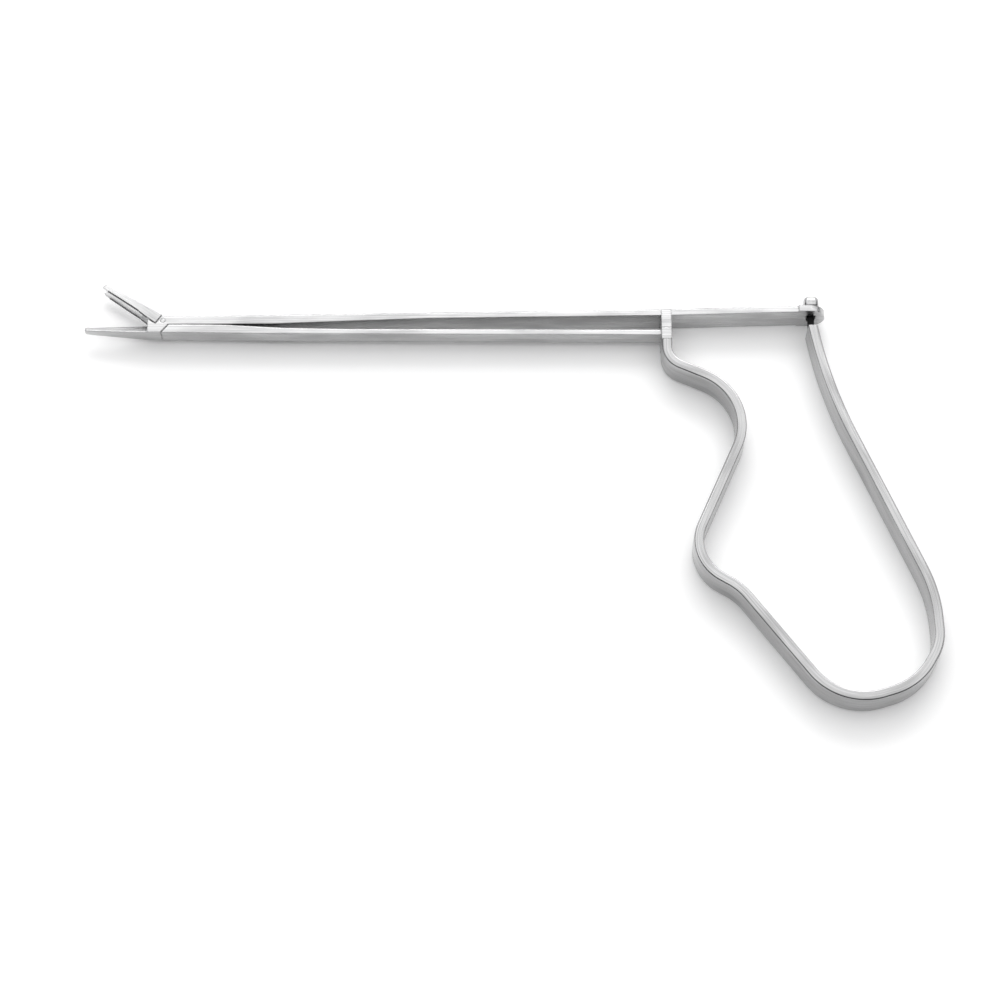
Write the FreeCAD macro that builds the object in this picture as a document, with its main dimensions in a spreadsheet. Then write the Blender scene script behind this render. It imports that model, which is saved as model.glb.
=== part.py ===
import FreeCAD, Part
import math
import os
import re

import Sketcher
from FreeCAD import Placement, Rotation, Vector

# Alligator forceps with a one-piece spring handle, lying on its side.
# X runs along the shaft away from the jaws, Y from the handle towards the shaft, Z up from the table.
# The origin is on the table side of the strap, in the middle of its straight finger column.

doc = FreeCAD.newDocument("alligator_forceps")
sheet = doc.addObject("Spreadsheet::Sheet", "Sizes")

# Lengths are millimetres. A reach is measured along X from the finger column, and a rise along Y
# from the origin.
SIZES = [
    ("strap_width", 8.0, "flat spring strap, across the instrument"),
    ("strap_gauge", 2.4, "thickness of the strap"),
    ("strap_round", 0.55, "rounding of the strap's outer edges"),
    ("strap_soft", 0.25, "rounding of the strap's inner edges"),
    ("seam_rise", 2.0, "brazed seam on top of the finger column"),
    ("shoulder_rise", 5.75, "rear end of the strap, in two shoulders"),
    ("leg_lean", 3.0, "how far the rear leg's last bend lies behind the eye"),
    ("leg_length", 16.3, "rear leg, from its last bend up to the shoulders"),
    ("leg_bend", 120.0, "radius of the rear leg's last bend"),
    ("neck_width", 2.6, "neck of the strap in the rear eye, across"),
    ("neck_gauge", 1.9, "neck of the strap, along the shaft"),
    ("head_width", 8.0, "retaining head on the neck, across"),
    ("head_gauge", 2.5, "retaining head, along the shaft"),
    ("head_height", 2.5, "height of the retaining head"),
    ("head_round", 0.8, "rounding of the head's top"),
    ("head_gap", 0.1, "play between the head and the bar"),
    ("eye_reach", 35.45, "middle of the rear eye"),
    ("eye_front", 3.1, "from the middle of the eye to the front of its lug"),
    ("eye_tail", 3.4, "from the middle of the eye to the end of the bar"),
    ("eye_play", 0.1, "clearance between the neck and the eye"),
    ("block_gauge", 2.5, "cross block of the pull bar, along the shaft"),
    ("block_height", 3.1, "cross block of the pull bar, above the seam"),
    ("guide_floor", 0.15, "gap between the guide fork and the bar's underside"),
    ("guide_play", 0.04, "running clearance between the bar and the guide's prongs"),
    ("prong_height", 1.5, "guide prongs above the fork's floor"),
    ("bar_width", 7.0, "upper bar across, from the column to the eye"),
    ("nose_width", 4.5, "upper bar across, at the jaws"),
    ("nose_length", 8.4, "parallel nose of the upper bar, behind the cheeks' front"),
    ("bar_gauge", 1.65, "upper bar, behind its thick nose"),
    ("bar_top", 10.25, "top of the upper bar above the column"),
    ("bar_climb", 0.9, "how much the bar climbs from the column to the eye"),
    ("bar_dip", 1.05, "how much the bar falls from the column to the jaws"),
    ("swell_reach", 58.0, "rear end of the bar's thick nose"),
    ("parting_rise", 6.84, "line where the two bars meet at the front"),
    ("parting_reach", 96.0, "where the two bars part"),
    ("pull_width", 4.4, "pull bar across"),
    ("pull_gauge", 1.4, "pull bar, behind its thick nose"),
    ("pull_foot", 3.95, "underside of the pull bar at the column"),
    ("pull_nose_foot", 4.6, "underside of the pull bar at its nose"),
    ("pull_swell_reach", 77.0, "rear end of the pull bar's thick nose"),
    ("slide_play", 0.03, "running clearance between the two bars"),
    ("nose_gap", 0.15, "gap at the slanted end of the pull bar"),
    ("nose_slant", 1.8, "how far that end slants back"),
    ("pivot_reach", 122.6, "pivot of the moving jaw"),
    ("pivot_rise", 7.8, "height of the pivot"),
    ("pivot_size", 1.1, "diameter of the pivot pin"),
    ("drive_drop", 1.9, "drive pin below the pivot"),
    ("drive_size", 0.7, "diameter of the drive pin"),
    ("pin_play", 0.03, "running clearance round each pin"),
    ("open_angle", 35.2, "opening of the jaws at rest, in degrees"),
    ("cheek_length", 3.75, "fork cheeks in front of the pivot"),
    ("cheek_slot", 3.4, "slot between the fork cheeks"),
    ("cheek_foot", 4.66, "underside of the cheeks"),
    ("horn_rise", 8.3, "front corner of the cheeks"),
    ("notch_length", 1.85, "bottom of the notch in the cheeks, in front of the pivot"),
    ("notch_rise", 7.1, "height of the notch's bottom"),
    ("slot_nose", 2.0, "full-depth slot in front of the pivot"),
    ("slot_heel", 0.3, "slot behind the jaw's lobe"),
    ("slot_floor", 6.3, "floor of the shallow front part of the slot"),
    ("slot_bottom", 5.2, "bottom of the slot round the drive arm"),
    ("nose_ramp", 0.25, "how far the bar's nose rises above its top line at the notch"),
    ("tongue_gauge", 1.2, "drive tongue, across"),
    ("tongue_foot", 5.35, "underside of the drive tongue"),
    ("tongue_height", 1.1, "height of the drive tongue"),
    ("tongue_lip", 0.8, "tongue in front of the drive pin"),
    ("pocket_rear", 0.7, "pockets beside the tongue, behind the pivot"),
    ("side_play", 0.05, "side clearance of the moving jaw and of the tongue"),
    ("jaw_length", 17.2, "moving jaw, from the pivot to its tip"),
    ("jaw_width", 4.3, "moving jaw across its two blades"),
    ("jaw_tip_width", 3.9, "moving jaw across its two blades at the tip"),
    ("blade_gap", 2.6, "gap between the two blades"),
    ("blade_drop", 1.3, "teeth of the moving jaw below its pivot"),
    ("blade_tip", 1.5, "height of the blades at the tip"),
    ("heel_length", 1.0, "rear end of the blades, in front of the pivot"),
    ("flare_start", 4.0, "where the jaw starts to widen, from the pivot"),
    ("flare_end", 8.0, "where the jaw has its full width, from the pivot"),
    ("web_end", 5.9, "where the blades part, from the pivot"),
    ("lobe_radius", 1.15, "round of the jaw about its pivot"),
    ("arm_length", 2.45, "drive arm of the jaw, from the pivot"),
    ("arm_width", 2.2, "drive arm and lobe of the jaw, across"),
    ("arm_half", 0.75, "half width of the drive arm"),
    ("clevis_start", 1.1, "clevis slot in the drive arm, from the pivot"),
    ("fork_start", 1.48, "drive slot in the arm, from the pivot"),
    ("fixed_length", 15.45, "fixed jaw in front of the cheeks"),
    ("fixed_width", 4.2, "fixed jaw across, at the cheeks"),
    ("fixed_tip_width", 1.8, "fixed jaw across, at the tip"),
    ("crest_width", 2.1, "toothed crest of the fixed jaw at the cheeks"),
    ("crest_tip_width", 1.0, "toothed crest of the fixed jaw at the tip"),
    ("crest_fall", 0.14, "how much the crest falls towards the tip"),
    ("keel_climb", 1.0, "how much the fixed jaw's underside climbs towards the tip"),
    ("tip_round", 0.4, "rounding of the jaw tips"),
    ("tooth_pitch", 0.5, "spacing of the teeth"),
    ("tooth_depth", 0.2, "depth of the teeth"),
    ("tooth_start", 1.2, "plain end of each jaw before its teeth"),
]

# The strap's bends in order from the finger column: name, step along X, step along Y, radius, note.
# Each step starts from the bend before it.
BENDS = [
    ("column", 0.0, -5.36, 5.08, "foot of the finger column"),
    ("finger", 21.89, -9.85, 14.53, "finger rest, where the strap turns down"),
    ("waist", -18.41, -42.06, 10.5, "front of the grip, where it turns back"),
    ("ledge", 12.12, -7.29, 14.0, "ledge below the grip"),
    ("heel", 22.24, -29.36, 14.8, "lowest point of the handle"),
    ("palm", 17.93, 5.58, 15.6, "rear of the handle's foot"),
    ("thumb", 5.84, 9.90, 12.72, "rearmost point of the handle"),
    ("bow", -0.55, 12.87, 34.87, "start of the rear leg"),
]

rows = list(SIZES)
for name, along, up, radius, note in BENDS:
    rows.append((name + "_along", along, note + ", step along the shaft"))
    rows.append((name + "_up", up, note + ", step in height"))
    rows.append((name + "_bend", radius, note + ", radius"))
for number, (alias, value, note) in enumerate(rows, start=1):
    sheet.set("A%d" % number, note)
    sheet.set("B%d" % number, "%g" % value)
    sheet.setAlias("B%d" % number, alias)
doc.recompute()


def formula(text):
    """The expression that a rule in aliases stands for; every alias has an underscore."""
    return re.sub(r"[a-z]+(_[a-z]+)+", r"Sizes.\g<0>", text)


def worth(text):
    """The number that a rule in aliases gives."""
    found = sheet.evalExpression(formula(text))
    return float(getattr(found, "Value", found))


def bind(thing, rules):
    """Ties properties of an object to rules in aliases."""
    for name, text in rules.items():
        thing.setExpression(name, formula(text))
    return thing


# Rules used in several places.
MID = "strap_width / 2"
CHEEK_REACH = "(pivot_reach + cheek_length)"
SWING = "(open_angle / 2 * 1deg)"
SLOT_REAR = "(pivot_reach - lobe_radius - slot_heel)"
NOSE_FOOT_REACH = "(%s + nose_slant)" % SLOT_REAR
UNDERSIDE = "(bar_top - bar_gauge)"
EYE_TOP = "(bar_top + bar_climb)"
JAW_ROOT = "(cheek_slot - 2 * side_play)"

# Sketch planes: side is seen along Z, plan along Y and section along X.
SIDE = Rotation()
PLAN = Rotation(Vector(1, 0, 0), 90)
SECTION = Rotation(Vector(1, 1, 1), 120)
THROUGH = 60.0


def outline(name, plane, corners, **place):
    """A closed sketch of straight lines whose corners are bound to rules."""
    sketch = doc.addObject("Sketcher::SketchObject", name)
    sketch.Placement = Placement(Vector(), plane)
    bind(sketch, {"Placement.Base." + axis: text for axis, text in place.items()})
    points = [Vector(worth(x), worth(y), 0) for x, y in corners]
    count = len(points)
    for i in range(count):
        sketch.addGeometry(Part.LineSegment(points[i], points[(i + 1) % count]))
    for i in range(count):
        sketch.addConstraint(Sketcher.Constraint("Coincident", i, 2, (i + 1) % count, 1))
    for i, corner in enumerate(corners):
        for kind, text in zip(("DistanceX", "DistanceY"), corner):
            put = sketch.addConstraint(Sketcher.Constraint(kind, -1, 1, i, 1, worth(text)))
            sketch.setExpression("Constraints[%d]" % put, formula(text))
    return sketch


def prism(name, plane, corners, width=None, **place):
    """A sketch extruded to both sides of its plane, right through where no width is given."""
    solid = doc.addObject("Part::Extrusion", name)
    solid.Base = outline(name + "_outline", plane, corners, **place)
    solid.DirMode = "Normal"
    solid.Solid = True
    solid.Symmetric = True
    solid.LengthFwd = THROUGH
    if width:
        bind(solid, {"LengthFwd": width})
    return solid


def side_prism(name, corners, width, middle=MID):
    """A side view with its width centred across the instrument."""
    return prism(name, SIDE, corners, width, z=middle)


def mirrored(half, middle):
    """The corners of a plan view that is alike on both sides of a middle line."""
    near = [(x, "%s - (%s) / 2" % (middle, width)) for x, width in half]
    far = [(x, "%s + (%s) / 2" % (middle, width)) for x, width in reversed(half)]
    return near + far


def block(name, x, y, z):
    """A box whose three spans are pairs of rules."""
    solid = doc.addObject("Part::Box", name)
    for size, axis, (low, high) in (("Length", "x", x), ("Width", "y", y), ("Height", "z", z)):
        bind(solid, {size: "(%s) - (%s)" % (high, low), "Placement.Base." + axis: low})
    return solid


def centred(width, middle=MID):
    """The span of a width about a middle line."""
    return ("%s - (%s) / 2" % (middle, width), "%s + (%s) / 2" % (middle, width))


def rod(name, radius, width, x="0", y="0", middle=MID):
    """A cylinder across the instrument."""
    solid = doc.addObject("Part::Cylinder", name)
    start = "%s - (%s) / 2" % (middle, width)
    bind(solid, {"Radius": radius, "Height": width})
    bind(solid, {"Placement.Base.x": x, "Placement.Base.y": y, "Placement.Base.z": start})
    return solid


def joined(name, *pieces):
    """One solid from several that overlap."""
    solid = doc.addObject("Part::MultiFuse", name)
    solid.Shapes = list(pieces)
    solid.Refine = True
    return solid


def shared(name, *pieces):
    """What several solids have in common."""
    solid = doc.addObject("Part::MultiCommon", name)
    solid.Shapes = list(pieces)
    return solid


def cut(name, base, *tools):
    """A solid less its tools."""
    solid = doc.addObject("Part::Cut", name)
    solid.Base = base
    solid.Tool = tools[0] if len(tools) == 1 else joined(name + "_tools", *tools)
    return solid


def rounded(name, base, radius, chosen):
    """A solid with those edges rounded for which chosen is true."""
    doc.recompute()
    solid = doc.addObject("Part::Fillet", name)
    solid.Base = base
    size = worth(radius)
    found = [n for n, edge in enumerate(base.Shape.Edges, start=1) if chosen(edge)]
    solid.Edges = [(n, size, size) for n in found]
    return solid


def made(name, shape):
    """An object that holds a shape made by Part's own functions."""
    solid = doc.addObject("Part::Feature", name)
    solid.Shape = shape
    return solid


def comb(name, start, along, outward, length, width):
    """A cutter that leaves a row of V teeth along an edge, centred on start across the instrument."""
    pitch = worth("tooth_pitch")
    depth = worth("tooth_depth")
    count = int(length / pitch)
    points = [start + outward * depth]
    for tooth in range(count):
        points.append(start + along * (tooth * pitch))
        points.append(start + along * ((tooth + 0.5) * pitch) - outward * depth)
    points.append(start + along * (count * pitch))
    points.append(start + along * (count * pitch) + outward * depth)
    face = Part.Face(Part.makePolygon(points + points[:1]))
    face.translate(Vector(0, 0, -width / 2))
    return made(name, face.extrude(Vector(0, 0, width)))


def left_of(direction):
    """The unit vector to the left of a direction in the side view."""
    return Vector(-direction.y, direction.x, 0)


def strap_side(stops, offset):
    """The edges of one side of the strap: straight runs joined by arcs about shared centres."""
    points = [point for point, radius in stops]
    ways = [(b - a).normalize() for a, b in zip(points, points[1:])]
    last = points[0] + left_of(ways[0]) * offset
    edges = []
    for (point, radius), before, after in zip(stops[1:-1], ways, ways[1:]):
        hand = math.copysign(1.0, before.cross(after).z)
        setback = radius * math.tan(before.getAngle(after) / 2)
        centre = point - before * setback + left_of(before) * (hand * radius)
        reach = -hand * (radius - hand * offset)
        middle = (left_of(before) + left_of(after)).normalize()
        arc = [centre + way * reach for way in (left_of(before), middle, left_of(after))]
        edges.append(Part.makeLine(last, arc[0]))
        edges.append(Part.Arc(*arc).toShape())
        last = arc[2]
    edges.append(Part.makeLine(last, points[-1] + left_of(ways[-1]) * offset))
    return edges


def middle_of(edge):
    """The point halfway along an edge."""
    return edge.valueAt((edge.FirstParameter + edge.LastParameter) / 2)


def round_side(solid, edges, radius):
    """The strap with both long corners of one side rounded."""
    marks = [middle_of(edge) for edge in edges]
    corners = []
    for edge in solid.Edges:
        spot = middle_of(edge)
        flat = Vector(spot.x, spot.y, 0)
        if edge.BoundBox.ZLength < 1e-6 and any(flat.distanceToPoint(mark) < 1e-6 for mark in marks):
            corners.append(edge)
    return solid.makeFillet(radius, corners)


def bent_strap():
    """The spring strap from the seam on its finger column to the top of its rear leg."""
    half = worth("strap_gauge") / 2
    point = Vector(0, worth("seam_rise"), 0)
    stops = [(point, 0)]
    for name, *others in BENDS:
        point = point + Vector(worth(name + "_along"), worth(name + "_up"), 0)
        stops.append((point, worth(name + "_bend")))
    last = Vector(worth("eye_reach + leg_lean"), worth("shoulder_rise - leg_length"), 0)
    stops.append((last, worth("leg_bend")))
    stops.append((Vector(worth("eye_reach"), worth("shoulder_rise + neck_gauge / 2"), 0), 0))
    inner = strap_side(stops, half)
    outer = strap_side(stops, -half)
    ends = []
    for end in (0, -1):
        tips = [side[end].Vertexes[end].Point for side in (inner, outer)]
        ends.append(Part.makeLine(*tips))
    wire = Part.Wire(Part.sortEdges(inner + outer + ends)[0])
    solid = Part.Face(wire).extrude(Vector(0, 0, worth("strap_width")))
    solid = round_side(solid, outer, worth("strap_round"))
    return round_side(solid, inner, worth("strap_soft"))


def handle_spring():
    """The strap with its shoulders, and the neck that goes up through the eye."""
    strap = made("bent_strap", bent_strap())
    top = block(
        "above_shoulders",
        ("eye_reach - strap_width / 2", "eye_reach + strap_width / 2"),
        ("shoulder_rise", "shoulder_rise + strap_width / 2"),
        ("-1", "strap_width + 1"),
    )
    neck = block(
        "neck",
        centred("neck_gauge", "eye_reach"),
        ("shoulder_rise - neck_gauge / 2", EYE_TOP + " + head_gap"),
        centred("neck_width"),
    )
    return joined("handle_spring", cut("strap_with_shoulders", strap, top), neck)


def retaining_head():
    """The cross piece on the neck that keeps it in the eye, domed on top."""
    foot = EYE_TOP + " + head_gap"
    plain = block(
        "head_block",
        centred("head_gauge", "eye_reach"),
        (foot, foot + " + head_height"),
        centred("head_width"),
    )
    top = worth(foot + " + head_height") - 1e-4
    return rounded("retaining_head", plain, "head_round", lambda edge: edge.BoundBox.YMin > top)


def upper_bar():
    """The long bar with the eye at its rear, and the fork cheeks and fixed jaw at its front."""
    front = "-" + CHEEK_REACH
    nose_top = "bar_top - bar_dip"
    share = "(swell_reach / pivot_reach)"
    side = side_prism(
        "bar_side",
        [
            (front, "cheek_foot"),
            ("-%s - nose_gap" % NOSE_FOOT_REACH, "cheek_foot"),
            ("-%s - nose_gap" % SLOT_REAR, "parting_rise"),
            ("-parting_reach", "parting_rise"),
            ("-swell_reach", UNDERSIDE + " - bar_dip * " + share),
            ("0", UNDERSIDE),
            ("eye_reach - eye_front", EYE_TOP + " - bar_gauge"),
            ("eye_reach + eye_tail", EYE_TOP + " - bar_gauge"),
            ("eye_reach + eye_tail", EYE_TOP),
            ("eye_reach - eye_front", EYE_TOP),
            ("0", "bar_top"),
            ("-pivot_reach + 2 * nose_ramp", nose_top + " - nose_ramp"),
            ("-pivot_reach - nose_ramp", nose_top + " + nose_ramp"),
            ("-pivot_reach - notch_length", "notch_rise"),
            (front, "horn_rise"),
        ],
        "strap_width",
    )
    plan = prism(
        "bar_plan",
        PLAN,
        mirrored(
            [
                (front, "nose_width"),
                (front + " + nose_length", "nose_width"),
                ("-block_gauge * 2", "bar_width"),
                ("eye_reach - eye_front / 2", "bar_width"),
            ],
            MID,
        ),
    )
    lug_box = block(
        "lug_box",
        ("eye_reach - eye_front", "eye_reach + eye_tail - " + MID),
        (UNDERSIDE + " - bar_gauge", EYE_TOP + " + bar_gauge"),
        ("0", "strap_width"),
    )
    lug_span = block(
        "lug_span",
        ("eye_reach - eye_front", "eye_reach + eye_tail"),
        (UNDERSIDE + " - bar_gauge", EYE_TOP + " + bar_gauge"),
        ("0", "strap_width"),
    )
    lug_round = doc.addObject("Part::Cylinder", "lug_round")
    lug_round.Placement = Placement(Vector(), PLAN)
    bind(lug_round, {"Radius": MID, "Height": "2 * bar_top"})
    bind(lug_round, {"Placement.Base.x": "eye_reach + eye_tail - " + MID})
    bind(lug_round, {"Placement.Base.y": "2 * bar_top", "Placement.Base.z": MID})
    lug = joined("lug_plan", lug_box, shared("lug_end", lug_span, lug_round))
    body = shared("bar_body", side, joined("bar_and_lug", plan, lug))
    deep = block(
        "cheek_slot_deep",
        ("-pivot_reach - slot_nose", "-" + SLOT_REAR),
        ("slot_bottom", "bar_top"),
        centred("cheek_slot"),
    )
    shallow = block(
        "cheek_slot_front",
        (front + " - 1", "-pivot_reach"),
        ("slot_floor", "bar_top"),
        centred("cheek_slot"),
    )
    bore = rod("cheek_bore", "pivot_size / 2", "strap_width", "-pivot_reach", "pivot_rise")
    eye = block(
        "eye_slot",
        centred("neck_gauge + 2 * eye_play", "eye_reach"),
        (UNDERSIDE, EYE_TOP + " + 1"),
        centred("neck_width + 2 * eye_play"),
    )
    forked = cut("forked_bar", body, deep, shallow, bore, eye)
    return joined("upper_bar", forked, fixed_jaw())


def fixed_jaw():
    """The jaw in one with the cheeks: a tapering wedge with a row of teeth on its narrow crest."""
    root = section(
        "fixed_root", CHEEK_REACH, "fixed_width", "crest_width", "cheek_foot", "parting_rise"
    )
    tip = section(
        "fixed_tip",
        CHEEK_REACH + " + fixed_length",
        "fixed_tip_width",
        "crest_tip_width",
        "cheek_foot + keel_climb",
        "parting_rise - crest_fall",
    )
    wedge = doc.addObject("Part::Loft", "fixed_wedge")
    wedge.Sections = [root, tip]
    wedge.Solid = True
    wedge.Ruled = True
    end = -worth(CHEEK_REACH + " + fixed_length") + 1e-4
    eased = rounded("fixed_eased", wedge, "tip_round", lambda edge: edge.BoundBox.XMax < end)
    start = Vector(-worth(CHEEK_REACH + " + tooth_start"), worth("parting_rise"), worth(MID))
    slope = Vector(-worth("fixed_length"), -worth("crest_fall"), 0).normalize()
    start.y -= worth("crest_fall * tooth_start / fixed_length")
    length = worth("fixed_length - 2 * tooth_start")
    teeth = comb("fixed_teeth", start, slope, Vector(slope.y, -slope.x, 0), length, worth("strap_width"))
    return cut("fixed_jaw", eased, teeth)


def section(name, reach, width, crest, low, high):
    """A cross-section of the fixed jaw, wide at its underside and narrow at its crest."""
    middle = MID
    corners = [(low, "%s - %s / 2" % (middle, width)), (low, "%s + %s / 2" % (middle, width))]
    corners += [(high, "%s + %s / 2" % (middle, crest)), (high, "%s - %s / 2" % (middle, crest))]
    return outline(name, SECTION, corners, x="-(%s)" % reach)


def pull_bar():
    """The lower bar with its cross block at the rear and its drive tongue at the front."""
    top = "parting_rise - slide_play"
    side = side_prism(
        "pull_side",
        [
            ("-" + NOSE_FOOT_REACH, "pull_nose_foot"),
            ("-parting_reach", "pull_nose_foot - (pull_nose_foot - pull_foot) / 2"),
            ("-block_gauge / 2", "pull_foot"),
            ("-block_gauge / 2", "pull_foot + pull_gauge"),
            ("-pull_swell_reach", "pull_foot + pull_gauge + 0.2"),
            ("-parting_reach + 3", "pull_foot + pull_gauge + 0.5"),
            ("-(parting_reach + pivot_reach) / 2", top),
            ("-" + SLOT_REAR, top),
        ],
        "pull_width",
    )
    pockets = block(
        "nose_pockets",
        ("-pivot_reach - cheek_length", "-pivot_reach + pocket_rear"),
        ("slot_bottom", "parting_rise"),
        centred("cheek_slot"),
    )
    tongue = block(
        "tongue",
        ("%s - tongue_lip" % drive_x(), "-pivot_reach + pocket_rear + tongue_lip"),
        ("tongue_foot", "tongue_foot + tongue_height"),
        centred("tongue_gauge"),
    )
    cross = block(
        "cross_block",
        centred("block_gauge", "0"),
        ("seam_rise", "seam_rise + block_height"),
        ("0", "strap_width"),
    )
    nosed = cut("pull_bar_nosed", side, pockets)
    body = joined("pull_bar_body", nosed, tongue, cross)
    hole = rod("drive_hole", "drive_size / 2", "strap_width", drive_x(), "pivot_rise - drive_drop")
    return cut("pull_bar", body, hole)


def drive_x():
    """Where the drive pin stands with the jaws open."""
    return "-pivot_reach - drive_drop * tan" + SWING


def guide_fork():
    """The fork on the cross block that straddles the upper bar and guides the pull bar."""
    floor = "(%s - guide_floor)" % UNDERSIDE
    body = block(
        "guide_block",
        centred("block_gauge", "0"),
        ("seam_rise + block_height", floor + " + prong_height"),
        ("0", "strap_width"),
    )
    gap = block(
        "guide_gap",
        centred("2 * block_gauge", "0"),
        (floor, "bar_top + 1"),
        centred("bar_width + 2 * guide_play"),
    )
    return cut("guide_fork", body, gap)


def upper_jaw():
    """The moving jaw: two toothed blades on a root that turns between the cheeks."""
    side = side_prism(
        "jaw_side",
        [
            ("-jaw_length", "-blade_drop"),
            ("-heel_length", "-blade_drop"),
            ("-heel_length", "lobe_radius"),
            ("-jaw_length", "blade_tip - blade_drop"),
        ],
        "strap_width",
        "0",
    )
    plan = prism(
        "jaw_plan",
        PLAN,
        mirrored(
            [
                ("-jaw_length", "jaw_tip_width"),
                ("-flare_end", "jaw_width"),
                ("-flare_start", JAW_ROOT),
                ("0", JAW_ROOT),
            ],
            "0",
        ),
    )
    blades = shared("jaw_blades", side, plan)
    end = -worth("jaw_length") + 1e-4
    eased = rounded(
        "jaw_eased",
        blades,
        "tip_round",
        lambda edge: edge.BoundBox.XMax < end and edge.BoundBox.ZLength > worth("tip_round"),
    )
    lobe = rod("jaw_lobe", "lobe_radius", "arm_width", middle="0")
    lean = doc.addObject("Part::Box", "drive_arm")
    lean.Placement = Placement(Vector(), Rotation(Vector(0, 0, 1), 1))
    bind(lean, {"Length": "2 * arm_half", "Width": "arm_length", "Height": "arm_width"})
    hang(lean, "arm_half", "arm_length", "arm_width")
    clevis = doc.addObject("Part::Box", "clevis_slot")
    clevis.Placement = Placement(Vector(), Rotation(Vector(0, 0, 1), 1))
    bind(clevis, {"Length": "4 * arm_half", "Width": "arm_length - clevis_start + 1"})
    bind(clevis, {"Height": "tongue_gauge + 2 * side_play"})
    hang(clevis, "2 * arm_half", "arm_length + 1", "tongue_gauge + 2 * side_play")
    fork = doc.addObject("Part::Box", "drive_slot")
    fork.Placement = Placement(Vector(), Rotation(Vector(0, 0, 1), 1))
    bind(fork, {"Length": "drive_size + 2 * pin_play", "Width": "arm_length - fork_start + 1"})
    bind(fork, {"Height": "strap_width"})
    hang(fork, "drive_size / 2 + pin_play", "arm_length + 1", "strap_width")
    parting = block("blade_parting", ("-jaw_length - 1", "-web_end"), ("-3", "3"), centred("blade_gap", "0"))
    relief = block(
        "web_relief",
        ("-web_end - 1", "-cheek_length + 8 * side_play"),
        ("-blade_drop - 1", "parting_rise - pivot_rise + side_play"),
        centred("blade_gap", "0"),
    )
    bore = rod("jaw_bore", "pivot_size / 2 + pin_play", "strap_width", middle="0")
    teeth = comb(
        "blade_teeth",
        Vector(-worth("web_end + tooth_pitch"), -worth("blade_drop"), 0),
        Vector(-1, 0, 0),
        Vector(0, -1, 0),
        worth("jaw_length - web_end - tooth_start"),
        worth("strap_width"),
    )
    body = joined("jaw_body", eased, lobe, lean)
    jaw = cut("upper_jaw", body, clevis, fork, parting, relief, bore, teeth)
    jaw.Placement = Placement(Vector(), Rotation(Vector(0, 0, 1), -1))
    bind(jaw, {"Placement.Base.x": "-pivot_reach", "Placement.Base.y": "pivot_rise"})
    bind(jaw, {"Placement.Base.z": MID, "Placement.Rotation.Angle": "-open_angle * 1deg"})
    return jaw


def hang(piece, half, length, width):
    """Hangs a box from the pivot along the drive arm, which leans back while the jaw is closed."""
    bind(
        piece,
        {
            "Placement.Base.x": "(%s) * sin%s - (%s) * cos%s" % (length, SWING, half, SWING),
            "Placement.Base.y": "-(%s) * cos%s - (%s) * sin%s" % (length, SWING, half, SWING),
            "Placement.Base.z": "-(%s) / 2" % width,
            "Placement.Rotation.Angle": SWING,
        },
    )
    return piece


def pivot_pin():
    """The pin that the moving jaw turns on, flush with the cheeks."""
    return rod("pivot_pin", "pivot_size / 2", "nose_width", "-pivot_reach", "pivot_rise")


def drive_pin():
    """The pin in the tongue that swings the jaw's arm."""
    width = "arm_width + 4 * side_play"
    return rod("drive_pin", "drive_size / 2", width, drive_x(), "pivot_rise - drive_drop")


parts = [
    handle_spring(),
    retaining_head(),
    upper_bar(),
    pull_bar(),
    guide_fork(),
    upper_jaw(),
    pivot_pin(),
    drive_pin(),
]
doc.recompute()

for thing in doc.Objects:
    if "Invalid" in thing.State or "Error" in thing.State:
        raise RuntimeError("%s did not build" % thing.Name)

os.makedirs("parts", exist_ok=True)
for part in parts:
    part.Label = part.Name
    shape = part.Shape
    if shape.isNull() or not shape.isValid() or len(shape.Solids) != 1:
        raise RuntimeError("%s is not one sound solid" % part.Label)
    shape.exportStep(os.path.join("parts", part.Label + ".step"))
    print("%-16s %9.3f mm3" % (part.Label, shape.Volume))
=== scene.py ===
import math

import bmesh
import bpy
from mathutils import Matrix, Vector


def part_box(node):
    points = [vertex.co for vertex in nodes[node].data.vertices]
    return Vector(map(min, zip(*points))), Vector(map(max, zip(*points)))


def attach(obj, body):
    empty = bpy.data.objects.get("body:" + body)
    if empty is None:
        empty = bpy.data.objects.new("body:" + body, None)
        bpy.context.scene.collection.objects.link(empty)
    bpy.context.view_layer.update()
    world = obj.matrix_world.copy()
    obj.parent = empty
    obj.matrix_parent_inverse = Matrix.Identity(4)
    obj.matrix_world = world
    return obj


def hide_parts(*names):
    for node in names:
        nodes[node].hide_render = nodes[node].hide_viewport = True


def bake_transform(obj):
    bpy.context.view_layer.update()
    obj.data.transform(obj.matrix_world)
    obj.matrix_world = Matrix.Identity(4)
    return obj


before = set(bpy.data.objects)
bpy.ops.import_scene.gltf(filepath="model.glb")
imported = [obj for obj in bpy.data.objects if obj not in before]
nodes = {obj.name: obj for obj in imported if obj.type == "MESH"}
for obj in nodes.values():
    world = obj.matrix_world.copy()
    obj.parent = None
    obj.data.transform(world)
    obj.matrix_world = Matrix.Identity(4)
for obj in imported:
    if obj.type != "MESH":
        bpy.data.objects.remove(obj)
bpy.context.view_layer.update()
MM = 0.001


# Handle strap. One strip of spring steel, bent cold into a pistol grip that is open at the top.
# Its flat faces and its edges are ground and brushed along the strip, so the fine scratches follow
# every bend. The front end is brazed to the pull bar, and the rear end hooks into the upper bar.
def linear(code):
    """The linear colour of an sRGB hex value."""
    parts = [int(code[i : i + 2], 16) / 255 for i in (1, 3, 5)]
    return [c / 12.92 if c <= 0.04045 else ((c + 0.055) / 1.055) ** 2.4 for c in parts] + [1.0]


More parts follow.
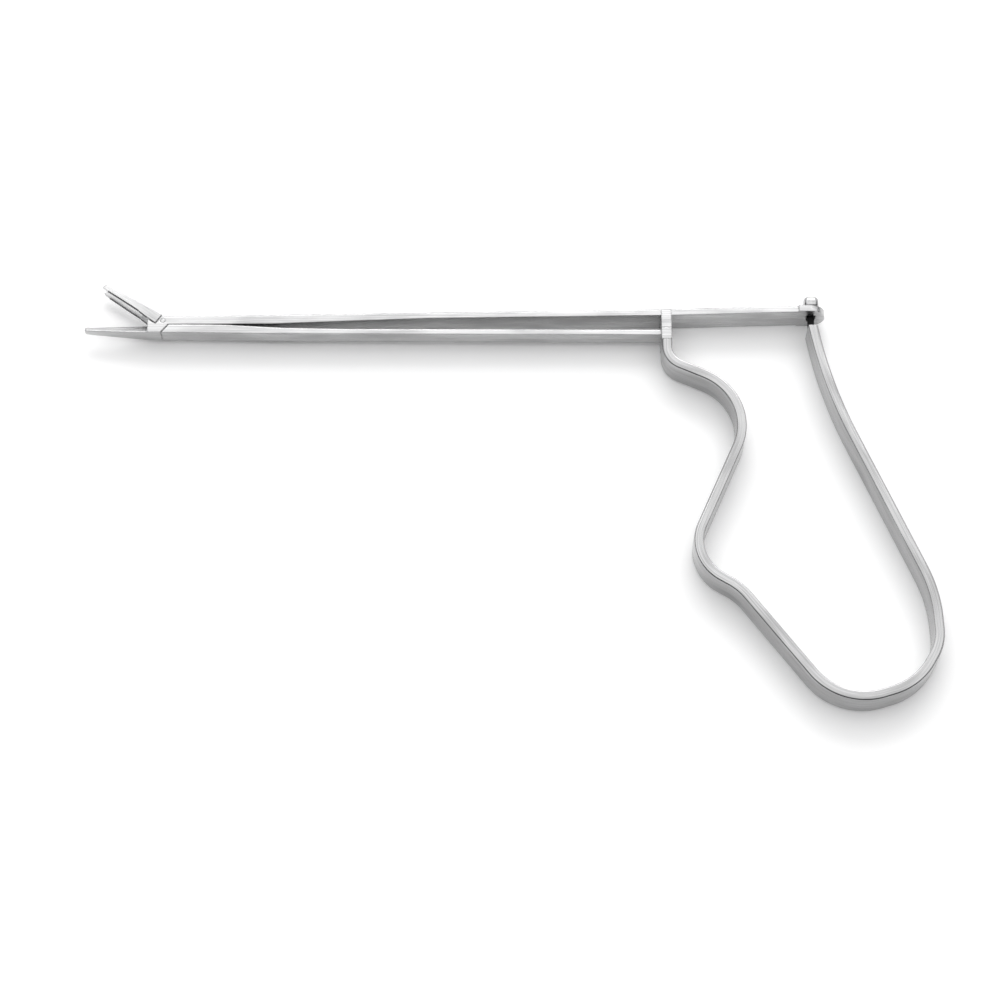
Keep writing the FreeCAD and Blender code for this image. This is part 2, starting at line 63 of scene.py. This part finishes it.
def add(tree, kind, links=None, **settings):
    """Adds a node with its settings; links gives each input a value or another node's output."""
    node = tree.nodes.new(kind)
    for name, value in settings.items():
        setattr(node, name, value)
    for name, value in (links or {}).items():
        if isinstance(value, bpy.types.NodeSocket):
            tree.links.new(value, node.inputs[name])
        else:
            node.inputs[name].default_value = value
    return node


# The scratches' depth, the slower unevenness of the polish along and across the scratches, and how
# much of its brightness the dullest place keeps.
SCRATCH_DEPTH = 0.006 * MM
CLOUDS_PER_METRE = (60, 260, 260)
DULLEST = 0.8


def ground_steel(name, tones, roughness, scratch, length, uv=None, broken=0.3):
    """Stainless steel ground along one direction. The metal gives clean grey reflections, and the
    grinding breaks them into soft streaks: scratch and length are one streak's size in metres,
    drawn coarser than real grit so that they show. broken is how far the sharp edges are taken
    off, in millimetres, so that they catch the room."""
    material = bpy.data.materials.new(name)
    material.use_nodes = True
    tree = material.node_tree
    shader = tree.nodes["Principled BSDF"]
    shader.inputs["Metallic"].default_value = 1.0
    place = add(tree, "ShaderNodeTexCoord").outputs["Object"]
    if uv:
        place = add(tree, "ShaderNodeUVMap", uv_map=uv).outputs["UV"]
    stretch = (1 / length, 1 / scratch, 1 / scratch)
    streak_place = add(tree, "ShaderNodeMapping", {"Vector": place, "Scale": stretch})
    streaks = add(
        tree,
        "ShaderNodeTexNoise",
        {"Vector": streak_place.outputs["Vector"], "Scale": 1.0, "Detail": 5.0, "Roughness": 0.65},
    )
    soft_place = add(tree, "ShaderNodeMapping", {"Vector": place, "Scale": CLOUDS_PER_METRE})
    clouds = add(
        tree,
        "ShaderNodeTexNoise",
        {"Vector": soft_place.outputs["Vector"], "Scale": 1.0, "Detail": 2.0},
    )
    ramp = add(tree, "ShaderNodeValToRGB", {"Fac": streaks.outputs["Fac"]})
    ramp.color_ramp.elements[0].position = 0.3
    ramp.color_ramp.elements[0].color = linear(tones[0])
    ramp.color_ramp.elements[1].position = 0.7
    ramp.color_ramp.elements[1].color = linear(tones[1])
    dull = add(
        tree,
        "ShaderNodeMapRange",
        {
            "Value": clouds.outputs["Fac"],
            "From Min": 0.35,
            "From Max": 0.55,
            "To Min": DULLEST,
            "To Max": 1.0,
        },
    )
    toned = add(
        tree,
        "ShaderNodeVectorMath",
        {0: ramp.outputs["Color"], "Scale": dull.outputs["Result"]},
        operation="SCALE",
    )
    tree.links.new(toned.outputs["Vector"], shader.inputs["Base Color"])
    mixed = add(
        tree,
        "ShaderNodeMath",
        {0: streaks.outputs["Fac"], 1: clouds.outputs["Fac"]},
        operation="MULTIPLY",
    )
    rough = add(
        tree,
        "ShaderNodeMapRange",
        {
            "Value": mixed.outputs["Value"],
            "From Min": 0.1,
            "From Max": 0.45,
            "To Min": roughness[0],
            "To Max": roughness[1],
        },
    )
    tree.links.new(rough.outputs["Result"], shader.inputs["Roughness"])
    edge = add(tree, "ShaderNodeBevel", {"Radius": broken * MM}, samples=6)
    bump = add(
        tree,
        "ShaderNodeBump",
        {
            "Height": streaks.outputs["Fac"],
            "Strength": 0.2,
            "Distance": SCRATCH_DEPTH,
            "Normal": edge.outputs["Normal"],
        },
    )
    tree.links.new(bump.outputs["Normal"], shader.inputs["Normal"])
    return material


def dress(node, material):
    """Gives a CAD node its finish."""
    for place in nodes[node].material_slots:
        place.material = material


STRAP_WIDTH = 8.0 * MM
STRAP_GAUGE = 2.4 * MM
OUTER_ROUND = 0.65 * MM
INNER_ROUND = 0.35 * MM
SEAM = 2.0 * MM
SHOULDER = 5.75 * MM
EYE = 35.45 * MM
# Each bend's step from the one before, along the shaft and in height, and its radius, in mm.
STRAP_BENDS = [
    (0.0, -5.36, 5.08),
    (21.89, -9.85, 14.53),
    (-18.41, -42.06, 10.5),
    (12.12, -7.29, 14.0),
    (22.24, -29.36, 14.8),
    (17.93, 5.58, 15.6),
    (5.84, 9.90, 12.72),
    (-0.55, 12.87, 34.87),
]
NECK_GAUGE = 1.5 * MM
NECK_WIDTH = 1.8 * MM
NECK_TOP = 11.25 * MM
NECK_FACES = 6
LEG_LEAN = 3.0 * MM
LEG_LENGTH = 16.3 * MM
LEG_BEND = 120.0 * MM
LEG_PAST_SHOULDER = STRAP_GAUGE * 0.4
RING_STEP = 0.5 * MM
STRAIGHT_STEP = 4 * RING_STEP
CORNER_POINTS = 6
NECK_SUNK = 0.3 * MM


def left_of(way):
    """The unit vector to the left of a way in the picture's plane."""
    return Vector((-way.y, way.x, 0))


def strap_line():
    """Points and directions along the strap's middle line: straight runs joined by tangent arcs."""
    point = Vector((0, SEAM, 0))
    stops = [(point, 0)]
    for along, up, radius in STRAP_BENDS:
        point = point + Vector((along * MM, up * MM, 0))
        stops.append((point, radius * MM))
    stops.append((Vector((EYE + LEG_LEAN, SHOULDER - LEG_LENGTH, 0)), LEG_BEND))
    stops.append((Vector((EYE, SHOULDER + LEG_PAST_SHOULDER, 0)), 0))
    line = [(stops[0][0], (stops[1][0] - stops[0][0]).normalized())]
    for (a, _), (corner, radius), (b, _) in zip(stops, stops[1:], stops[2:]):
        before, after = (corner - a).normalized(), (b - corner).normalized()
        hand = math.copysign(1, before.cross(after).z)
        turn = before.angle(after)
        centre = corner - before * radius * math.tan(turn / 2) + left_of(before) * hand * radius
        count = max(4, round(turn * radius / RING_STEP))
        for i in range(count + 1):
            angle = hand * turn * i / count
            way = Vector(
                (
                    before.x * math.cos(angle) - before.y * math.sin(angle),
                    before.x * math.sin(angle) + before.y * math.cos(angle),
                    0,
                )
            )
            line.append((centre - left_of(way) * hand * radius, way))
    line.append((stops[-1][0], line[-1][1]))
    filled = [line[0]]
    for point, way in line[1:]:
        last = filled[-1][0]
        pieces = max(1, round((point - last).length / STRAIGHT_STEP))
        filled += [(last.lerp(point, i / pieces), way) for i in range(1, pieces + 1)]
    return filled


def strap_section():
    """The strip's cross-section: (side, height) points with soft corners, outer ones rounder."""
    half = STRAP_GAUGE / 2
    corners = [
        (-half, 0, OUTER_ROUND, 180),
        (half, 0, INNER_ROUND, 270),
        (half, STRAP_WIDTH, INNER_ROUND, 0),
        (-half, STRAP_WIDTH, OUTER_ROUND, 90),
    ]
    ring = []
    for side, height, radius, start in corners:
        centre = (side - math.copysign(radius, side), height + (radius if height == 0 else -radius))
        for i in range(CORNER_POINTS):
            angle = math.radians(start + 90 * i / (CORNER_POINTS - 1))
            side_way, up_way = radius * math.cos(angle), radius * math.sin(angle)
            ring.append((centre[0] + side_way, centre[1] + up_way))
    return ring


def strap_mesh():
    """The swept strip with its horizontal shoulders and neck, and a UV map that runs along it."""
    line = strap_line()
    ring = strap_section()
    size = len(ring)
    around = [0.0]
    for a, b in zip(ring, ring[1:] + ring[:1]):
        around.append(around[-1] + math.dist(a, b))
    verts, faces, maps = [], [], []
    along = [0.0]
    for (a, _), (b, _) in zip(line, line[1:]):
        along.append(along[-1] + (b - a).length)
    for number, (point, way) in enumerate(line):
        for side, height in ring:
            spot = point + left_of(way) * side
            if number == len(line) - 1:
                spot = spot - way * ((spot.y - SHOULDER) / way.y)
            verts.append((spot.x, spot.y, height))
    for r in range(len(line) - 1):
        for k in range(size):
            n = (k + 1) % size
            faces.append((r * size + k, r * size + n, (r + 1) * size + n, (r + 1) * size + k))
            low, high = around[k], around[k + 1]
            maps += [(along[r], low), (along[r], high), (along[r + 1], high), (along[r + 1], low)]
    last = (len(line) - 1) * size
    faces.append(tuple(reversed(range(size))))
    faces.append(tuple(last + k for k in range(size)))
    maps += [(0.0, around[k]) for k in reversed(range(size))]
    maps += [(along[-1], around[k]) for k in range(size)]
    base = len(verts)
    for up in (SHOULDER - NECK_SUNK, NECK_TOP):
        for x, z in ((-1, -1), (1, -1), (1, 1), (-1, 1)):
            verts.append((EYE + x * NECK_GAUGE / 2, up, STRAP_WIDTH / 2 + z * NECK_WIDTH / 2))
    for k in range(4):
        n = (k + 1) % 4
        faces.append((base + n, base + k, base + 4 + k, base + 4 + n))
        low, high = k * NECK_WIDTH, (k + 1) * NECK_WIDTH
        rise = along[-1] + NECK_TOP - SHOULDER
        maps += [(along[-1], high), (along[-1], low), (rise, low), (rise, high)]
    faces.append(tuple(base + 4 + k for k in (3, 2, 1, 0)))
    faces.append(tuple(base + k for k in range(4)))
    maps += [(along[-1] + v.real, v.imag) for v in (0, 1e-3, 1e-3 + 1e-3j, 1e-3j)] * 2
    mesh = bpy.data.meshes.new("handle_strap")
    mesh.from_pydata(verts, [], faces)
    layer = mesh.uv_layers.new(name="along_strap")
    for loop, spot in zip(layer.data, maps):
        loop.uv = spot
    mesh.shade_smooth()
    mesh.set_sharp_from_angle(angle=math.radians(32))
    return mesh


strap_steel = ground_steel(
    "ground_spring_steel",
    ("#A6A6A7", "#C5C5C5"),
    (0.15, 0.27),
    0.3 * MM,
    14 * MM,
    uv="along_strap",
    broken=0.15,
)
# The neck under the eye is given near-black steel: painted shade for the deep shade in the slot
# under the eye.
neck_shade_steel = ground_steel(
    "neck_painted_shade_steel", ("#1C1C1D", "#323233"), (0.45, 0.60), 0.3 * MM, 1 * MM, uv="along_strap"
)
strap = bpy.data.objects.new("handle_strap", strap_mesh())
bpy.context.scene.collection.objects.link(strap)
strap.data.materials.append(strap_steel)
strap.data.materials.append(neck_shade_steel)
# The neck's faces take the near-black steel, which is painted shade.
for face in strap.data.polygons[-NECK_FACES:]:
    face.material_index = 1
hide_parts("handle_spring")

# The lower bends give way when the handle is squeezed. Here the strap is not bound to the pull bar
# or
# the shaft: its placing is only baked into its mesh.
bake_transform(strap)


# Long bars. Two slim stainless bars, milled flat and satin ground along their length.
# The upper one carries the fork cheeks, the fixed jaw and the rear eye, and the lower one slides.
bar_steel = ground_steel(
    "ground_bar_steel", ("#B6B6B7", "#D2D2D2"), (0.20, 0.33), 0.3 * MM, 30 * MM, broken=0.5
)
for part in ("upper_bar", "pull_bar", "guide_fork"):
    dress(part, bar_steel)


# Moving jaw. Two thin blades side by side on one root, milled from stainless bar. Their side plates
# lie over the cheeks, and the teeth along their lower edges are cut with a file. The faces that
# look down under the teeth are painted darker than the polished sides: painted shade, and a painted
# reflection of the dark parts below. The jaw is drawn closed, with its pivot at the origin.
BLADE_OUTLINE = [
    (-17.72, -1.18), (-17.75, -0.85), (-17.60, -0.45), (-17.20, -0.20), (-16.25, -0.06),
    (-13.34, 0.18), (-10.36, 0.36), (-4.50, 0.80), (-1.12, 1.05), (-1.12, -1.60), (-3.60, -1.52),
    (-5.60, -1.38),
]  # fmt: skip
TOOTH_PITCH = 0.5
TOOTH_DEPTH = 0.22
TEETH_FROM, TEETH_COUNT = -6.4, 19
TEETH_END = TEETH_FROM - TOOTH_PITCH * TEETH_COUNT - 0.1
TOOTH_LINE = -1.36
# A face gets the dark tooth steel, which is painted shade, if it looks down by at least this lean
# and lies below this level.
TOOTHED_LEAN = -0.3
TOOTHED_LEVEL = -1.05
BLADE_HALF = 2.6
# Plans are given by half widths. The room for the cheeks is a running clearance wider than them.
BLADE_PLAN = [(-17.75, 1.95), (-17.35, 2.30), (-12.0, 2.58), (0.0, BLADE_HALF)]
GAP_PLAN = [(-18.5, 1.25), (-12.0, 1.50), (-6.6, 1.50), (-5.9, 1.10)]
RELIEF_PLAN = [(-6.7, 1.5), (-3.3, 1.5)]
RELIEF_TOP = -0.91
CHEEK_PLAN = [(-4.0, 2.28), (1.0, 2.28)]
ROOT_OUTLINE = [(-4.6, -0.9), (-3.3, -0.9), (-3.2, -1.3), (-1.0, -1.3), (-1.0, 1.04), (-4.6, 0.7)]
ROOT_HALF = 1.65
ARM_SIDE = 1.1
LOBE_RADIUS = 1.15
ARM_HALF, ARM_LENGTH = 0.75, 2.45
CLEVIS_SIDE, CLEVIS_HALF, CLEVIS_FROM = 0.65, 1.5, 1.1
SLOT_HALF, SLOT_FROM = 0.38, 1.48
BORE_RADIUS = 0.583
# Cutting tools reach this far, past every face.
THROUGH = 3.0
ARM_LEAN = math.radians(17.6)
JAW_OPEN = math.radians(35.2)
PIVOT = Vector((-122.6, 7.8, 4.0))


def solid_of(name, lower, upper):
    """A closed mesh between two outlines with the same number of points."""
    count = len(lower)
    faces = [tuple(reversed(range(count))), tuple(range(count, 2 * count))]
    faces += [(k, (k + 1) % count, count + (k + 1) % count, count + k) for k in range(count)]
    mesh = bpy.data.meshes.new(name)
    mesh.from_pydata(list(lower) + list(upper), [], faces)
    mesh.update()
    shape = bmesh.new()
    shape.from_mesh(mesh)
    bmesh.ops.recalc_face_normals(shape, faces=shape.faces)
    shape.to_mesh(mesh)
    shape.free()
    piece = bpy.data.objects.new(name, mesh)
    bpy.context.scene.collection.objects.link(piece)
    return piece


def side_slab(name, outline, low, high):
    """A slab seen from the side: its outline in X and Y, and its reach across."""
    return solid_of(name, [(x, y, low) for x, y in outline], [(x, y, high) for x, y in outline])


def plan_slab(name, halves, low, high):
    """A slab seen from above, alike on both sides of the middle."""
    round_trip = [(x, z) for x, z in halves] + [(x, -z) for x, z in reversed(halves)]
    lower = [(x, low, z) for x, z in round_trip]
    upper = [(x, high, z) for x, z in round_trip]
    return solid_of(name, lower, upper)


def worked(body, tool, kind):
    """Joins a tool's shape to the body, cuts it away or keeps what they share."""
    step = body.modifiers.new(kind, "BOOLEAN")
    step.operation, step.object, step.solver = kind, tool, "EXACT"
    done = bpy.data.meshes.new_from_object(
        body.evaluated_get(bpy.context.evaluated_depsgraph_get())
    )
    body.modifiers.clear()
    body.data = done
    bpy.data.objects.remove(tool)
    return body


def along_arm(half, start, end):
    """The corners of a bar of that half width along the drive arm."""
    down = Vector((math.sin(ARM_LEAN), -math.cos(ARM_LEAN)))
    side = Vector((math.cos(ARM_LEAN), math.sin(ARM_LEAN)))
    ends = ((-half, start), (half, start), (half, end), (-half, end))
    return [tuple(side * a + down * b) for a, b in ends]


def disc(radius):
    """Points round the pivot."""
    return [
        (radius * math.cos(math.radians(10 * i)), radius * math.sin(math.radians(10 * i)))
        for i in range(36)
    ]


def toothed_outline():
    """The blade's outline with its teeth cut in."""
    teeth = []
    for i in range(TEETH_COUNT):
        x = TEETH_FROM - TOOTH_PITCH * i
        teeth += [(x, TOOTH_LINE), (x - TOOTH_PITCH / 2, TOOTH_LINE + TOOTH_DEPTH)]
    return BLADE_OUTLINE + teeth + [(TEETH_FROM - TOOTH_PITCH * TEETH_COUNT, TOOTH_LINE)]


def jaw_piece():
    """The whole moving jaw: blades, side plates, root, lobe and slotted drive arm."""
    jaw = side_slab("moving_jaw", toothed_outline(), -BLADE_HALF, BLADE_HALF)
    worked(jaw, plan_slab("plan", BLADE_PLAN, -THROUGH, THROUGH), "INTERSECT")
    worked(jaw, plan_slab("gap", GAP_PLAN, -THROUGH, THROUGH), "DIFFERENCE")
    worked(jaw, plan_slab("relief", RELIEF_PLAN, -THROUGH, RELIEF_TOP), "DIFFERENCE")
    worked(jaw, plan_slab("cheek_room", CHEEK_PLAN, -THROUGH, THROUGH), "DIFFERENCE")
    worked(jaw, side_slab("root", ROOT_OUTLINE, -ROOT_HALF, ROOT_HALF), "UNION")
    worked(jaw, side_slab("lobe", disc(LOBE_RADIUS), -ARM_SIDE, ARM_SIDE), "UNION")
    arm = along_arm(ARM_HALF, 0.0, ARM_LENGTH)
    worked(jaw, side_slab("arm", arm, -ARM_SIDE, ARM_SIDE), "UNION")
    clevis = along_arm(CLEVIS_HALF, CLEVIS_FROM, THROUGH)
    worked(jaw, side_slab("clevis", clevis, -CLEVIS_SIDE, CLEVIS_SIDE), "DIFFERENCE")
    slot = along_arm(SLOT_HALF, SLOT_FROM, THROUGH)
    worked(jaw, side_slab("drive_slot", slot, -THROUGH, THROUGH), "DIFFERENCE")
    worked(jaw, side_slab("bore", disc(BORE_RADIUS), -THROUGH, THROUGH), "DIFFERENCE")
    mesh = jaw.data
    layer = mesh.uv_layers.new(name="along_blade")
    turn = Matrix.Rotation(-JAW_OPEN, 3, "Z")
    for face in mesh.polygons:
        for k in face.loop_indices:
            spot = mesh.vertices[mesh.loops[k].vertex_index].co
            layer.data[k].uv = (spot.x * MM, (spot.y + spot.z) * MM)
    for vertex in mesh.vertices:
        vertex.co = (turn @ vertex.co + PIVOT) * MM
    mesh.update()
    return jaw


jaw_steel = ground_steel(
    "polished_jaw_steel",
    ("#BABABB", "#D4D4D4"),
    (0.18, 0.30),
    0.2 * MM,
    6 * MM,
    uv="along_blade",
    broken=0.2,
)
# The tooth steel is painted dark: painted shade under the blades, and a painted reflection of the
# dark parts below.
tooth_shade_steel = ground_steel(
    "tooth_painted_shade_steel",
    ("#3E3E3F", "#5C5C5D"),
    (0.34, 0.50),
    0.2 * MM,
    0.4 * MM,
    uv="along_blade",
    broken=0.1,
)
jaw = jaw_piece()
jaw.data.materials.append(jaw_steel)
jaw.data.materials.append(tooth_shade_steel)
upright = Matrix.Rotation(JAW_OPEN, 3, "Z")
# Faces that look down under the teeth take the dark tooth steel, which is painted shade.
for face in jaw.data.polygons:
    normal, middle = upright @ face.normal, upright @ (face.center / MM - PIVOT)
    toothed = normal.y < TOOTHED_LEAN and middle.y < TOOTHED_LEVEL and middle.x > TEETH_END
    face.material_index = int(toothed)
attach(jaw, "upper_jaw")
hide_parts("upper_jaw")


# Pins and head. The two jaw pins are turned stainless wire, pressed in and ground flush. The head
# is a small block brazed on top of the strap's neck and peened round, which keeps it in the eye.
pin_steel = ground_steel(
    "turned_pin_steel", ("#B4B4B5", "#D2D2D2"), (0.18, 0.28), 0.2 * MM, 0.8 * MM
)
for part in ("pivot_pin", "drive_pin"):
    dress(part, pin_steel)

HEAD_SPREAD = 0.6 * MM
HEAD_INSET = 0.1 * MM
HEAD_CORNER = 1.3 * MM
HEAD_LEAST_CORNER = 0.2 * MM
HEAD_CORNER_POINTS = 7
# The head's rings from its seat upwards: height as a share, and how far each draws in.
HEAD_RINGS = [
    (0.0, 0.12), (0.05, 0.0), (0.62, 0.0), (0.78, 0.07), (0.90, 0.2), (0.97, 0.4), (1.0, 0.65),
]  # fmt: skip


def head_mesh():
    """The peened head: a block with round corners and a domed top."""
    low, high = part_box("retaining_head")
    centre_x, centre_z = (low[0] + high[0]) / 2, (low[2] + high[2]) / 2
    half_x, half_z = (high[0] - low[0]) / 2 + HEAD_SPREAD, (high[2] - low[2]) / 2 - HEAD_INSET
    verts, faces = [], []
    for share, inward in HEAD_RINGS:
        radius = max(HEAD_LEAST_CORNER, HEAD_CORNER - inward * MM / 2)
        for sign_x, sign_z, start in ((1, 1, 0), (-1, 1, 90), (-1, -1, 180), (1, -1, 270)):
            for i in range(HEAD_CORNER_POINTS):
                angle = math.radians(start + 90 * i / (HEAD_CORNER_POINTS - 1))
                x = sign_x * (half_x - inward * MM - radius) + radius * math.cos(angle)
                z = sign_z * (half_z - inward * MM - radius) + radius * math.sin(angle)
                verts.append((centre_x + x, low[1] + (high[1] - low[1]) * share, centre_z + z))
    count = len(verts) // len(HEAD_RINGS)
    for r in range(len(HEAD_RINGS) - 1):
        for k in range(count):
            n = (k + 1) % count
            faces.append(tuple(r * count + i for i in (k, count + k, count + n, n)))
    faces.append(tuple(range(count)))
    faces.append(tuple(len(verts) - 1 - k for k in range(count)))
    mesh = bpy.data.meshes.new("peened_head")
    mesh.from_pydata(verts, [], faces)
    mesh.shade_smooth()
    mesh.set_sharp_from_angle(angle=math.radians(50))
    return mesh


head = bpy.data.objects.new("peened_head", head_mesh())
bpy.context.scene.collection.objects.link(head)
head.data.materials.append(pin_steel)
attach(head, "shaft")
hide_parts("retaining_head")


# Table. A white sweep of matt board, on which the instrument lies and throws a faint soft shadow.
# A little glow of its own, for the camera and in reflections, keeps its white clean.
FLOOR_SIZE = 3.0
BOARD_GLOW = 0.06
board = bpy.data.materials.new("matt_white_board")
board.use_nodes = True
tree = board.node_tree
shader = tree.nodes["Principled BSDF"]
shader.inputs["Base Color"].default_value = linear("#FAFAFA")
shader.inputs["Roughness"].default_value = 0.9
path = add(tree, "ShaderNodeLightPath")
seen = add(
    tree,
    "ShaderNodeMath",
    {0: path.outputs["Is Camera Ray"], 1: path.outputs["Is Glossy Ray"]},
    operation="MAXIMUM",
)
seen = add(
    tree,
    "ShaderNodeMath",
    {0: seen.outputs["Value"], 1: path.outputs["Is Transmission Ray"]},
    operation="MAXIMUM",
)
glow = add(tree, "ShaderNodeMath", {0: seen.outputs["Value"], 1: BOARD_GLOW}, operation="MULTIPLY")
shader.inputs["Emission Color"].default_value = linear("#FFFFFF")
tree.links.new(glow.outputs["Value"], shader.inputs["Emission Strength"])
bpy.ops.mesh.primitive_plane_add(size=FLOOR_SIZE, location=(0, 0, 0))
floor = bpy.context.active_object
floor.name = "table"
floor.data.materials.append(board)


# Light. One wide soft box behind the instrument, high up, and a room that is pale above and dark
# around, which draws the dark lines along the rounded edges.
def soft_box(name, place, aim, size, power):
    """An area lamp that points at the instrument."""
    lamp = bpy.data.lights.new(name, "AREA")
    lamp.shape = "RECTANGLE"
    lamp.size, lamp.size_y = size
    lamp.energy = power
    holder = bpy.data.objects.new(name, lamp)
    bpy.context.scene.collection.objects.link(holder)
    holder.location = place
    holder.rotation_euler = (Vector(aim) - Vector(place)).to_track_quat("-Z", "Y").to_euler()
    return holder


CENTRE = (-0.04, -0.04, 0.0)
soft_box("sky_box", (0.05, 0.95, 0.80), CENTRE, (1.1, 0.5), 5.5)

world = bpy.data.worlds.new("pale_room")
bpy.context.scene.world = world
world.use_nodes = True
room = world.node_tree
way = add(room, "ShaderNodeTexCoord").outputs["Generated"]
height = add(
    room, "ShaderNodeVectorMath", {0: way, 1: (0.0, 0.4, 0.9165)}, operation="DOT_PRODUCT"
)
fade = add(room, "ShaderNodeValToRGB", {"Fac": height.outputs["Value"]})
fade.color_ramp.elements[0].position = 0.0
fade.color_ramp.elements[0].color = linear("#2D2D2E")
fade.color_ramp.elements[1].position = 0.76
fade.color_ramp.elements[1].color = linear("#FFFFFF")
for level, tone in ((0.28, "#3B3B3C"), (0.52, "#D2D2D3")):
    fade.color_ramp.elements.new(level).color = linear(tone)
room.links.new(fade.outputs["Color"], room.nodes["Background"].inputs["Color"])
room.nodes["Background"].inputs["Strength"].default_value = 1.4


# Camera. A long lens above the front of the table, square to the shaft. The instrument is seen from
# about 66 degrees above the table, so that the strap shows its edge and one wide face.
AIM = Vector((-40.447, -40.678, 8.0)) * MM
DISTANCE = 661.1 * MM
RISE = 0.9165
eye = bpy.data.cameras.new("camera")
eye.lens = 100.8
eye.sensor_width = 36.0
eye.sensor_fit = "HORIZONTAL"
eye.clip_start = 0.01
camera = bpy.data.objects.new("camera", eye)
bpy.context.scene.collection.objects.link(camera)
camera.location = AIM + Vector((0, -math.sqrt(1 - RISE**2), RISE)) * DISTANCE
camera.rotation_euler = (AIM - camera.location).to_track_quat("-Z", "Y").to_euler()
bpy.context.scene.camera = camera
bpy.context.scene.view_settings.view_transform = "Standard"
